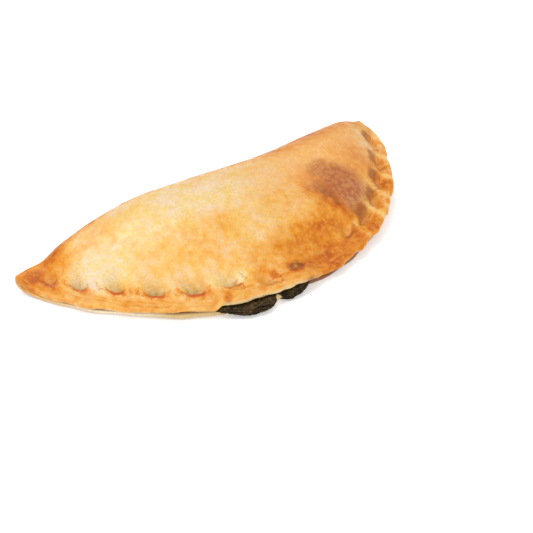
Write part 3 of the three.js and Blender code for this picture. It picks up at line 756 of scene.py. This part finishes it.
crust = {
    "bake": [(0.0, (247, 228, 190)), (0.25, (249, 213, 148)), (0.45, (248, 189, 98)), (0.62, (236, 149, 36)),
             (0.8, (206, 104, 12)), (1.0, (146, 70, 8))],  # from barely baked to dark
    "start": 0.32,
    "mottle": {"Broad": 0.09, "Fleck": 0.16, "Grain": 0.11},
    "mottleSize": {"Broad Size": 17.0, "Fleck Size": 3.2, "Grain Size": 1.1},
    "dappleSize": {"Broad Size": 8.0, "Fleck Size": 2.0, "Grain Size": 0.6},
    "gold": 0.42,  # how much the cream turns to gold in patches
    "goldBroad": 0.6,
    "pores": 0.11,  # fine lights and darks
    "flakes": 0.3,  # golden flecks where it is browned
    "rim": 0.2,
    "rimRight": 0.14,
    "streaks": 0.1,  # uneven browning along the rim
    "streakStretch": 56.0,
    "streakScale": 0.75,
    "fold": 0.38,  # browner edge along the fold
    "foldEven": -0.11,  # fewer flecks there
    "foldFrom": 6.0,
    "foldWide": 12.0,
    "foldWideRight": 19.0,
    "foldTip": 0.45,
    "crackle": 3.2,  # size of the cracks in the glaze near the presses
    "crackleJitter": 420.0,
    "crackleRed": 0.5,
    "crackleHighlight": 0.12,
    "crease": 0.24,
    "openWallShade": 0.5,  # painted shadow: the brown shade on the inner wall of an open press
    "halo": 0.2,
    "haloRight": 0.3,
    # painted highlight on the ridges between the open presses
    "ridgeHighlight": -0.14,
    "pad": 0.16,
    "peachShare": 0.5,  # how even the shoulder's colour is
    "grooveShadeShare": 0.7,
    "sheen": 0.34,
    "sheenBrowned": 0.22,
    "bump": 0.5,
    "bumpDeep": 0.0005,
    "colours": {
        "flake": (252, 188, 88),
        "creaseRed": (202, 90, 28),
        # painted shadow for the inner walls of the open presses
        "wallShadeBrown": (166, 98, 34),
        "peach": (248, 180, 109),
        # painted shade in the hollows of the presses
        "dentShadeLeft": (204, 166, 98),
        "dentShadeGrey": (184, 152, 88),
        "dentShadeRight": (222, 146, 74),
        "mauve": (184, 98, 46),
        # the seam's pale dough, lightened at the left end as painted light
        "paleAndLitLeft": (255, 238, 204),
        "pale": (224, 192, 128),
        "paleLip": (236, 202, 144),
        "shaded": (138, 88, 48),
        # painted shade for the groove between the two sheets
        "groove": (150, 92, 44),
        # the lower sheet's browned edge, darkened as painted shade under the rim
        "brownAndShadedRight": (184, 116, 62),
        "under": (206, 142, 76),
        "underDark": (150, 88, 38),
    },
    "rimPlaces": {  # shares of the rim's length over which one finish gives way to the next
        "tip": (0.02, 0.16),
        "greyDents": (0.2, 0.24),
        "paleSeam": (0.2, 0.28),
        "mouth": (0.34, 0.38),
        "ruddyDents": (0.47, 0.51),
        "shadedSeam": (0.48, 0.505),
        "rightRim": (0.55, 0.66),
        "openPresses": (0.6, 0.66),
    },
    "spans": {  # where each mask begins and ends
        "rim": (5.0, 12.0),  # mm from the rim's edge
        "streakRim": (6.0, 10.0),
        "streakLevel": (0.36, 0.64),
        "foldRight": (0.0, 0.035),  # metres along the fold
        "flakeFleck": (0.45, 1.0),
        "flakeBake": (0.42, 0.65),
        "crack": (0.02, 0.12),
        "crackFleck": (0.35, 0.75),
        "nearPress": (0.05, 0.5),
        "goldBake": (0.45, 0.65),
        "dentFleck": (0.1, 0.8),
        "poreGrain": (0.25, 0.75),
        "sheenBake": (0.5, 0.72),
    },
    "uneven": {  # from least to most, as the mottle has it
        "fold": (0.8, 1.05),
        "pad": (0.2, 1.0),
        "crease": (0.85, 1.1),
        "halo": (0.5, 1.2),
        "bloom": (0.72, 1.0),
        "dent": (0.5, 1.0),
        "gold": (1.0, 0.35),
        "rough": (0.3, 0.48),
    },
    "patches": {
        "pale left": ((-68, 14), (12, 6), -40, 0.6, 4, -0.2),
        "gold left": ((-60, 20), (8, 7), -30, 0.6, 5, 0.1),
        "golden tip": ((-76, 26.5), (11, 6), -30, 0.6, 4, 0.19),
        "ruddy tip": ((-81, 24.5), (9, 6), -50, 0.6, 3, 0.1),
        "cream top": ((-20, 13), (24, 9), -8, 0.6, 6, -0.12),
        "golden belly": ((-24, -9), (25, 11), -20, 0.6, 7, 0.1),
        "golden middle": ((2, -2), (15, 10), 0, 0.7, 6, 0.07),
        "amber front": ((17, -24.5), (28, 10), 3, 0.6, 6, 0.31),
        "amber side": ((28, -8), (16, 13), 0, 0.7, 6, 0.16),
        "brown border": ((39.5, -7.5), (3.2, 9), 6, 0.9, 4, 0.4),
        "orange corner": ((34, -3), (5, 8), 10, 0.8, 4, 0.29),
        "bloom tail": ((43, 6), (6, 8), 20, 0.7, 4, 0.06),
        "pale foot": ((30, -27.5), (8, 4), 28, 0.7, 3, -0.14),
        "shoulder": ((52, 13), (28, 15), 8, 0.6, 4, 0.11),
        "right side": ((66, -3), (9, 15), 20, 0.6, 4, 0.2),
        "end side": ((70, 7), (6, 8), 20, 0.7, 3, 0.12),
        "fold edge": ((56, 24), (24, 5), 0, 0.6, 3, 0.1),
        # partly browning and partly painted shade along the lower right edge of the rim
        "browned and shaded rim": ((28, -34), (26, 5), 20, 0.6, 3, 0.1),
        "dark spot": ((1, -30.6), (3.6, 2.8), 0, 0.6, 2, 0.44),
        "orange mark": ((-33.8, -30.2), (1.8, 3.3), -36, 0.6, 1, 0.3),
        "crinkle": ((-10.6, -30.2), (2.6, 1.6), 30, 0.6, 3, 0.24),
        "golden dent": ((-14.4, -27), (4, 3), 0, 0.7, 2, 0.13),
        # painted highlight: a paler spot beside the red crinkles near the mouth
        "crinkle highlight": ((-22.6, -24.4), (2.4, 3), 0, 0.7, 2, -0.2),
        "pale dent": ((-29.5, -21), (4.5, 4), 0, 0.6, 3, -0.1),
        "baked tip": ((-90, 35), (9, 9), 0, 0.5, 3, 0.06),
    },
    "mauveBloom": {
        "middle": ((48.8, -4), (10.2, 11), 0, 0.4, 3, 1.0),
        "upper lobe": ((44.5, 6), (5.5, 5), 0, 0.5, 3, 0.75),
        "lower lobe": ((46.5, -13.5), (5, 5.5), 0, 0.5, 3, 0.9),
    },
    "redCrinkles": {
        "right of the mark": ((-25, -26.2), (3, 4), -30, 0.5, 2, 1.0),
        "over the mouth": ((-10.8, -32.4), (5, 3.4), 20, 0.5, 2, 1.0),
    },
    "crackledGlazeHighlight": ((12, -20), (24, 9), 0, 0.6, 5, 1.0),
    "peachBloom": ((50, 14), (38, 17), 6, 0.6, 4, 1.0),
}


def newMaterial(name):
    made = bpy.data.materials.new(name)
    made.use_nodes = True
    return made, made.node_tree, made.node_tree.nodes["Principled BSDF"]


def bumped(tree, finish, height):
    sockets = {"Strength": finish["bump"], "Distance": finish["bumpDeep"], "Height": height}
    return newNode(tree, "ShaderNodeBump", sockets).outputs["Normal"]


def patchMask(tree, at, half, turn, soft, wander, share):
    sockets = {"Centre": (*at, 0), "Half": (*half, 1), "Turn": -math.radians(turn), "Soft": soft,
               "Wander": wander}
    return times(tree, useGroup(tree, ovenPatch, sockets)["Mask"], share)


def crustMaterial():
    made, tree, shader = newMaterial("bakedCrust")
    mottle = useGroup(tree, bakedMottle, crust["mottleSize"])
    dapple = useGroup(tree, bakedMottle, crust["dappleSize"])
    look = {name: seen(*colour) for name, colour in crust["colours"].items()}
    spans, uneven = crust["spans"], crust["uneven"]
    spot = newNode(tree, "ShaderNodeTexCoord").outputs["Object"]
    top = tagged(tree, "crustSide")
    along = tagged(tree, "alongRim")
    inset = tagged(tree, "rimInset")

    def add(total, value, amount):
        return calc(tree, "MULTIPLY_ADD", value, amount, total)

    def past(name, before=0.0, after=1.0):
        return remap(tree, along, *crust["rimPlaces"][name], before, after)

    def flecked(name):
        return times(tree, tagged(tree, name), remap(tree, mottle["Fleck"], 0.0, 1.0, *uneven[name]))

    # how far each place is baked
    bake = crust["start"] - 0.5 * sum(crust["mottle"].values())
    for name, amount in crust["mottle"].items():
        bake = add(bake, mottle[name], amount)
    for patch in crust["patches"].values():
        bake = calc(tree, "ADD", bake, patchMask(tree, *patch))
    rim = times(tree, fade(tree, inset, *spans["rim"]), top)
    bake = add(bake, rim, past("rightRim", crust["rim"], crust["rimRight"]))
    sockets = {"X": times(tree, along, crust["streakStretch"]), "Y": inset}
    stretched = newNode(tree, "ShaderNodeCombineXYZ", sockets).outputs[0]
    streaks = noise(tree, stretched, crust["streakScale"], 3.0)["Fac"]
    streaks = remap(tree, streaks, *spans["streakLevel"], -0.5, 0.5, smooth=False)
    bake = add(bake, times(tree, streaks, fade(tree, inset, *spans["streakRim"])), crust["streaks"])
    towardsRight = newNode(tree, "ShaderNodeSeparateXYZ", {"Vector": spot}).outputs["X"]
    foldTo = remap(tree, towardsRight, *spans["foldRight"], crust["foldWide"], crust["foldWideRight"])
    fold = fade(tree, tagged(tree, "foldReach"), crust["foldFrom"], foldTo)
    fold = times(tree, fold, remap(tree, mottle["Broad"], 0.0, 1.0, *uneven["fold"]))
    fold = times(tree, fold, past("tip", crust["foldTip"], 1.0))
    bake = add(bake, fold, crust["fold"])
    bake = add(bake, times(tree, calc(tree, "SUBTRACT", mottle["Fleck"], 0.5), fold), crust["foldEven"])
    crease = flecked("crease")
    # painted highlight: the ridges between the open presses are paler, as lit crests
    bake = add(bake, tagged(tree, "ridgeHighlight"), crust["ridgeHighlight"])
    bake = add(bake, flecked("pad"), crust["pad"])
    bake = add(bake, crease, crust["crease"])
    bake = add(bake, times(tree, flecked("halo"), past("mouth", 1.0, crust["haloRight"])), crust["halo"])
    ramp = newNode(tree, "ShaderNodeValToRGB", {"Fac": bake})
    stops = ramp.color_ramp.elements
    for i, (at, colour) in enumerate(crust["bake"]):
        stop = stops[i] if i < 2 else stops.new(at)
        stop.position = at
        stop.color = seen(*colour)
    colour = ramp.outputs["Color"]

    # flakes, creases and the crackled glaze; the open presses' creases are painted shadow and the glaze's
    # pale cracks painted highlight
    flakes = times(tree, remap(tree, dapple["Fleck"], *spans["flakeFleck"]), crust["flakes"])
    flakes = times(tree, flakes, remap(tree, bake, *spans["flakeBake"]))
    colour = tint(tree, flakes, colour, look["flake"])
    # in the open presses the crease tone is painted shadow on their inner walls, and the cracks near them
    # take it too
    red = tint(tree, past("openPresses"), look["creaseRed"], look["wallShadeBrown"])
    colour = tint(tree, crease, colour, red)
    jitter = noise(tree, spot, crust["crackleJitter"], 2.0)["Color"]
    crooked = vectorCalc(tree, "SCALE", spot, scale=1000.0 / crust["crackle"])
    sockets = {"Vector": vectorCalc(tree, "ADD", crooked, jitter), "Scale": 1.0}
    cells = newNode(tree, "ShaderNodeTexVoronoi", sockets, feature="DISTANCE_TO_EDGE")
    cracks = fade(tree, cells.outputs["Distance"], *spans["crack"])
    cracks = times(tree, cracks, remap(tree, dapple["Fleck"], *spans["crackFleck"]))
    nearPress = remap(tree, tagged(tree, "halo"), *spans["nearPress"])
    colour = tint(tree, times(tree, cracks, nearPress, crust["crackleRed"]), colour, red)
    for crinkle in crust["redCrinkles"].values():
        colour = tint(tree, times(tree, cracks, patchMask(tree, *crinkle)), colour, red)
    # painted highlight: pale lines along the glaze's cracks on the amber front
    glazeHighlight = times(tree, cracks, patchMask(tree, *crust["crackledGlazeHighlight"]), crust["crackleHighlight"])
    colour = tint(tree, glazeHighlight, colour, look["flake"])

    # gold and cream, the even shoulder and the mauve bloom
    gold = both(tree, dapple["Broad"], crust["goldBroad"], dapple["Fleck"], 1.0 - crust["goldBroad"])
    yellower = tint(tree, 1.0, colour, (1.0, 0.97, 1.0 - crust["gold"], 1.0), "MULTIPLY")
    creamier = tint(tree, 1.0, colour, (1.0, 1.02, 1.0 + crust["gold"], 1.0), "MULTIPLY")
    golden = tint(tree, gold, creamier, yellower)
    colour = tint(tree, remap(tree, bake, *spans["goldBake"], *uneven["gold"]), colour, golden)
    offFold = calc(tree, "SUBTRACT", 1.0, fold, clamp=True)
    peach = times(tree, patchMask(tree, *crust["peachBloom"]), offFold, crust["peachShare"])
    colour = tint(tree, peach, colour, look["peach"])
    bloom = 0.0
    for lobe in crust["mauveBloom"].values():
        bloom = calc(tree, "MAXIMUM", bloom, patchMask(tree, *lobe))
    bloom = times(tree, bloom, remap(tree, dapple["Fleck"], 0.0, 1.0, *uneven["bloom"]))
    colour = tint(tree, bloom, colour, look["mauve"])

    # the presses, the seam and the underside
    # painted shade in the hollows of the presses, its tone shifting from grey-cream to ruddy along the rim
    dent = tint(tree, past("greyDents"), look["dentShadeLeft"], look["dentShadeGrey"])
    dent = tint(tree, past("ruddyDents"), dent, look["dentShadeRight"])
    patchy = remap(tree, dapple["Fleck"], *spans["dentFleck"], *uneven["dent"])
    colour = tint(tree, times(tree, tagged(tree, "dentShade"), top, patchy), colour, dent)
    # painted shadow on the inner wall of each open press, laid over the dent tone
    mark = times(tree, crease, past("openPresses", 0.0, crust["openWallShade"]))
    colour = tint(tree, mark, colour, look["wallShadeBrown"])
    # the seam's own paler dough; at the left end it is lightened as painted light, and past the mouth the
    # shaded brown and the right brown are painted shade under the rim
    seam = look["paleAndLitLeft"]
    for name, tone in (("paleSeam", "pale"), ("mouth", "paleLip"), ("shadedSeam", "shaded"),
                       ("openPresses", "brownAndShadedRight")):
        seam = tint(tree, past(name), seam, look[tone])
    colour = tint(tree, tagged(tree, "seamSide"), colour, seam)
    # painted shade along the groove where the two sheets meet
    groove = times(tree, tagged(tree, "seamGroove"), crust["grooveShadeShare"])
    colour = tint(tree, groove, colour, look["groove"])
    below = tint(tree, mottle["Broad"], look["under"], look["underDark"])
    colour = tint(tree, tagged(tree, "underSide"), colour, below)
    pores = both(tree, dapple["Grain"], 0.5, mottle["Grain"], 0.5)
    pores = remap(tree, pores, *spans["poreGrain"], 1.0 - crust["pores"], 1.0 + crust["pores"], smooth=False)
    colour = vectorCalc(tree, "SCALE", colour, scale=pores)
    rough = remap(tree, mottle["Fleck"], 0.0, 1.0, *uneven["rough"])
    sheen = remap(tree, bake, *spans["sheenBake"], crust["sheen"], crust["sheenBrowned"])
    sheen = calc(tree, "MAXIMUM", sheen, times(tree, bloom, crust["sheen"]))
    normal = bumped(tree, crust, both(tree, mottle["Fleck"], 0.5, mottle["Grain"], 0.4))
    feed(tree, shader, {"Base Color": colour, "Roughness": rough, "Specular IOR Level": sheen,
                        "Normal": normal})
    return made


# the leaf wad in the parted seam

leaf = {
    "layers": 9,
    "stations": 170,
    "inputs": {  # lengths in metres
        "Wide": 0.0042, "Thick": 0.00058, "Profile": 18, "Crinkle": 0.00095, "Crinkle Size": 0.0017,
        "Seed": 0.0,
    },
    # mm of rim, and there how far it stands out beyond the rim and how low it hangs
    "along": [88.6, 89, 92, 95.5, 100, 106, 109.2, 110.6, 116.6, 118, 119.6, 122, 126, 129.5, 132.5],
    "front": [-0.4, 0.2, 0.2, 1.2, 3.2, 3.1, 1.2, -2.8, -2.8, -0.2, 0.9, 0.8, 0.2, -0.6, -2],
    "bottom": [2.8, 2.7, 2.3, 1.3, 0.6, 0.6, 0.9, 2.2, 2.2, 1.0, 0.8, 1.6, 2.9, 4.2, 4.8],
    "slenderLeft": (-1, 2.5),  # mm from the ends of the mouth over which the bands grow to full size
    "slenderRight": (1, 12),
    "slenderEnd": 0.25,
    "underLip": 0.35,
    "lowest": 0.9,
    "topGap": 0.3,
    "bulge": 0.9,
    "bulgeVary": 0.5,
    "mottleSize": {"Broad Size": 5.0, "Fleck Size": 1.5, "Grain Size": 0.4},
    "fibres": (850, 850, 1700),
    # lighter streaks, partly the leaf's own colour and partly painted highlight
    "streaks": 0.6,
    "streakSpan": (0.53, 0.68),
    "gapShade": 0.8,
    "gapShadeSpan": (0.34, 0.46),
    # painted shade for the gaps between the strands
    "gap": (16, 11, 5),
    "dark": (40, 29, 13),
    "mid": (84, 64, 30),
    "light": (126, 98, 52),
    "rough": (0.38, 0.65),
    "sheen": 0.18,
    "bump": 0.5,
    "bumpDeep": 0.0004,
    "seed": 5,
    "seedStep": 7.3,
}


def leafTree():
    # a flat band swept along a path and crinkled
    takes = {"Geometry": "Geometry", **leaf["inputs"], "Material": "Material"}
    tree, given, out = newGroup("leafBand", "GeometryNodeTree", takes, {"Geometry": "Geometry"})
    spot = newNode(tree, "GeometryNodeInputPosition").outputs[0]
    sockets = {"Resolution": given["Profile"], "Radius": 1.0}
    circle = newNode(tree, "GeometryNodeCurvePrimitiveCircle", sockets).outputs["Curve"]
    size = newNode(tree, "ShaderNodeCombineXYZ", {"X": given["Wide"], "Y": given["Thick"], "Z": 1.0})
    sockets = {"Geometry": circle, "Position": vectorCalc(tree, "MULTIPLY", spot, size.outputs[0])}
    flat = newNode(tree, "GeometryNodeSetPosition", sockets).outputs[0]
    straight = newNode(tree, "GeometryNodeSetCurveNormal", {"Curve": given["Geometry"]}, mode="Z_UP")
    radius = newNode(tree, "GeometryNodeInputRadius").outputs[0]
    sockets = {"Curve": straight.outputs[0], "Profile Curve": flat, "Scale": radius, "Fill Caps": True}
    band = newNode(tree, "GeometryNodeCurveToMesh", sockets).outputs[0]
    scale = calc(tree, "DIVIDE", 1.0, given["Crinkle Size"])
    drift = wobble(tree, noise(tree, spot, scale, 3.0, seed=given["Seed"])["Color"], given["Crinkle"])
    smooth = newNode(tree, "GeometryNodeSetShadeSmooth", {"Geometry": moveBy(tree, band, drift)}).outputs[0]
    finishTree(tree, smooth, given["Material"], out)
    return tree


def leafMaterial():
    made, tree, shader = newMaterial("cookedLeaf")
    mottle = useGroup(tree, bakedMottle, leaf["mottleSize"])
    spot = newNode(tree, "ShaderNodeTexCoord").outputs["Object"]
    fibres = noise(tree, vectorCalc(tree, "MULTIPLY", spot, leaf["fibres"]), 1.0, 4.0)["Fac"]
    colour = tint(tree, mottle["Broad"], seen(*leaf["dark"]), seen(*leaf["mid"]))
    # lighter streaks along the strands, partly the leaf's own colour and partly painted highlight
    streaks = times(tree, remap(tree, fibres, *leaf["streakSpan"]), leaf["streaks"])
    colour = tint(tree, streaks, colour, seen(*leaf["light"]))
    # painted shade: near-black gaps between the strands
    gapShade = remap(tree, fibres, *leaf["gapShadeSpan"], leaf["gapShade"], 0.0)
    colour = tint(tree, gapShade, colour, seen(*leaf["gap"]))
    rough = remap(tree, mottle["Fleck"], 0.0, 1.0, *leaf["rough"])
    normal = bumped(tree, leaf, both(tree, mottle["Fleck"], 1.0, fibres, 0.6))
    feed(tree, shader, {"Base Color": colour, "Roughness": rough, "Specular IOR Level": leaf["sheen"],
                        "Normal": normal})
    return made


def pathObject(name, points, radii):
    curve = bpy.data.curves.new(name, "CURVE")
    curve.dimensions = "3D"
    line = curve.splines.new("POLY")
    line.points.add(len(points) - 1)
    line.points.foreach_set("co", np.concatenate([points, np.ones((len(points), 1))], 1).ravel())
    line.points.foreach_set("radius", radii)
    return newObject(name, curve)


def leafWad(material):
    tree = leafTree()
    draw = np.random.default_rng(leaf["seed"])
    length = np.linspace(leaf["along"][0], leaf["along"][-1], leaf["stations"])
    cut = cutsAt(length)
    wide, thick = leaf["inputs"]["Wide"] / mm, leaf["inputs"]["Thick"] / mm
    slender = ease(length - mouth["from"], *leaf["slenderLeft"])
    slender = slender * ease(mouth["to"] - length, *leaf["slenderRight"])
    front = cut["width"] + np.interp(length, leaf["along"], leaf["front"])
    top = cut["under"] + dough["lowerSheet"] + cut["part"] - leaf["underLip"]
    bottom = np.interp(length, leaf["along"], leaf["bottom"]) + thick * 0.5
    bands = []
    for k in range(leaf["layers"]):
        t = k / (leaf["layers"] - 1)
        waves = [draw.uniform(0, 6.28) for _ in range(4)]
        wavy = np.sin(length / 2.6 + waves[0]) * 0.3 + np.sin(length / 5.3 + waves[1]) * 0.45
        lift = np.sin(length / 3.4 + waves[2]) * 0.25 + np.sin(length / 7 + waves[3]) * 0.3
        bulge = leaf["bulge"] * (np.sin(np.pi * (0.25 + 0.6 * (1 - t))) - 1)
        bulge = bulge + draw.uniform(-leaf["bulgeVary"], leaf["bulgeVary"])
        reach = front - wide + bulge + wavy
        height = mix(bottom, np.maximum(top - thick, bottom), t) + lift * slender
        height = np.clip(height, leaf["lowest"], np.maximum(top - leaf["topGap"], leaf["lowest"]))
        path = pathObject(f"leafPath{k}", place(cut, reach, height), mix(leaf["slenderEnd"], 1, slender))
        addModifier(path, tree, {**leaf["inputs"], "Seed": k * leaf["seedStep"], "Material": material})
        bands.append(settle(path, f"leafBand{k}"))
    return bands


pocket = {  # the unseen body of the filling, in mm
    "from": 16,
    "to": 240,
    "stations": 60,
    "front": 3.6,
    "gap": 0.5,
    "gapBase": 0.4,
    "least": 3.4,  # lowest height of its top above the underside
    "backRings": 7,
    "topRings": 9,
    "baseRings": 7,
}


def pocketFill(material):
    cut = cutsAt(np.linspace(pocket["from"], pocket["to"], pocket["stations"]))
    front = cut["filled"] - pocket["front"]
    back = dough["wallBack"] + pocket["gap"]
    crownReach = np.maximum(dough["crownPlace"] * cut["filled"], back + 1)
    rings = []

    def roof(reach):
        return topHeight(cut, reach) + lumps(cut, reach) - dough["wallTop"] - pocket["gap"]

    for turn in np.linspace(0, np.pi / 2, pocket["backRings"])[:-1]:
        height = mix(cut["waist"], roof(crownReach), np.sin(turn))
        rings.append(place(cut, mix(crownReach, back, np.cos(turn)), height))
    for t in np.linspace(0, 1, pocket["topRings"]):
        reach = mix(crownReach, front, t)
        rings.append(place(cut, reach, np.maximum(roof(reach), baseHeight(cut, reach) + pocket["least"])))
    for t in np.linspace(0, 1, pocket["baseRings"]):
        reach = mix(front, back + dough["foldRound"] * cut["filled"], t)
        rings.append(place(cut, reach, baseHeight(cut, reach) + dough["wallBase"] + pocket["gapBase"]))
    made = loftObject("pocketFill", np.stack(rings, 1))
    made.data.materials.append(material)
    return made


def joined(name, pieces):
    bpy.ops.object.select_all(action="DESELECT")
    for piece in pieces:
        piece.select_set(True)
    bpy.context.view_layer.objects.active = pieces[0]
    bpy.ops.object.join()
    pieces[0].name = name
    pieces[0].data.name = name
    return pieces[0]


sheet = foldedSheet()
addModifier(sheet, pressTree(), press["inputs"])
addModifier(sheet, reliefTree(), {**relief["inputs"], "Material": crustMaterial()})
pastry = settle(sheet, "pastry_crust")
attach(pastry, "root")
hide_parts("pastry")
print("pastry crust:", len(pastry.data.polygons), "faces")

cookedLeaf = leafMaterial()
filling = joined("leaf_filling", [pocketFill(cookedLeaf)] + leafWad(cookedLeaf))
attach(filling, "root")
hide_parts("filling")
print("leaf filling:", len(filling.data.polygons), "faces")


# floor, light and camera

view = {
    "elevation": 34.0,
    "azimuth": -38.17,
    "distance": 750,
    "target": (2.38, -31.67, 10),  # mm from the fold line
    "pixel": (245, 224),  # where the target falls in the picture
    "picture": 533,
    "mmPerPixel": 0.42,
    "sensor": 36,
}


def paleFloor():
    s, z = studio["floorSize"], -studio["floorDrop"]
    floor = meshObject("floor", [(-s, -s, z), (s, -s, z), (s, s, z), (-s, s, z)], [(0, 1, 2, 3)])
    made, tree, shader = newMaterial("paleFloor")
    feed(tree, shader, {"Base Color": studio["floorTone"], "Roughness": studio["floorRough"],
                        "Specular IOR Level": studio["floorSheen"], "Emission Color": studio["lightTone"],
                        "Emission Strength": studio["floorGlow"]})
    floor.data.materials.append(made)


def aimed(thing, at, aim):
    thing.location = at
    thing.rotation_euler = (Vector(aim) - Vector(at)).to_track_quat("-Z", "Y").to_euler()


def softLight(name, at, size, power):
    lamp = bpy.data.lights.new(name, "AREA")
    lamp.size = size
    lamp.energy = power
    aimed(newObject(name, lamp), at, studio["aim"])


def photoCamera():
    up, turn = math.radians(view["elevation"]), math.radians(view["azimuth"])
    back = Vector((math.sin(turn) * math.cos(up), -math.cos(turn) * math.cos(up), math.sin(up)))
    right = Vector((math.cos(turn), math.sin(turn), 0))
    over = back.cross(right)
    target = (Vector(view["target"]) + Vector((0, dough["foldY"], 0))) * mm
    step = view["mmPerPixel"] * mm
    middle = view["picture"] / 2
    aim = target + right * (middle - view["pixel"][0]) * step + over * (view["pixel"][1] - middle) * step
    lens = bpy.data.cameras.new("photoCamera")
    lens.sensor_width = view["sensor"]
    lens.lens = view["sensor"] * view["distance"] / view["mmPerPixel"] / view["picture"]
    made = newObject("photoCamera", lens)
    aimed(made, target + back * view["distance"] * mm, aim)
    bpy.context.scene.camera = made


paleFloor()
softLight("keyLight", **studio["key"])
softLight("fillLight", **studio["fill"])
world = bpy.data.worlds.new("studio")
world.use_nodes = True
feed(world.node_tree, world.node_tree.nodes["Background"], {"Color": studio["lightTone"],
                                                            "Strength": studio["world"]})
bpy.context.scene.world = world
bpy.context.scene.view_settings.view_transform = "Standard"
photoCamera()
print("floor, light and camera ready")
